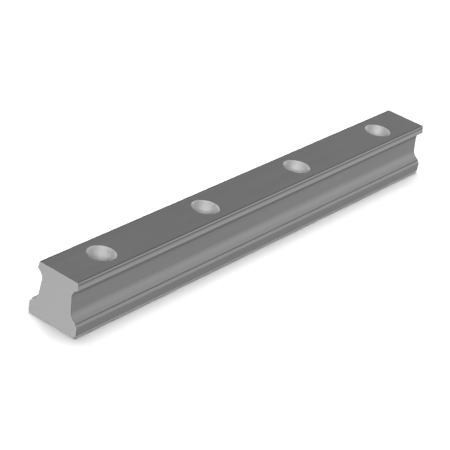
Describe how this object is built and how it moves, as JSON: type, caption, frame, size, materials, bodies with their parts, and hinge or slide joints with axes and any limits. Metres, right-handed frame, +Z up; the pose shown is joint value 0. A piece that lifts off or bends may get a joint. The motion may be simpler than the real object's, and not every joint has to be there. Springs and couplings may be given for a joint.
{
  "type": "linear guide rail",
  "caption": "Straight profiled steel rail for a linear ball guide, with ball tracks along both flanks and counterbored screw holes along the top.",
  "frame": {"origin": "middle of the underside, where the rail is bolted down", "axes": "+X along the rail, +Y across it, +Z up out of its top face"},
  "size_m": [0.225, 0.023, 0.022],
  "materials": {
    "rail_steel": "ground steel, satin, with fine lines along its length"
  },
  "bodies": {
    "root": {"guide_rail": "rail_steel"}
  },
  "joints": []
}
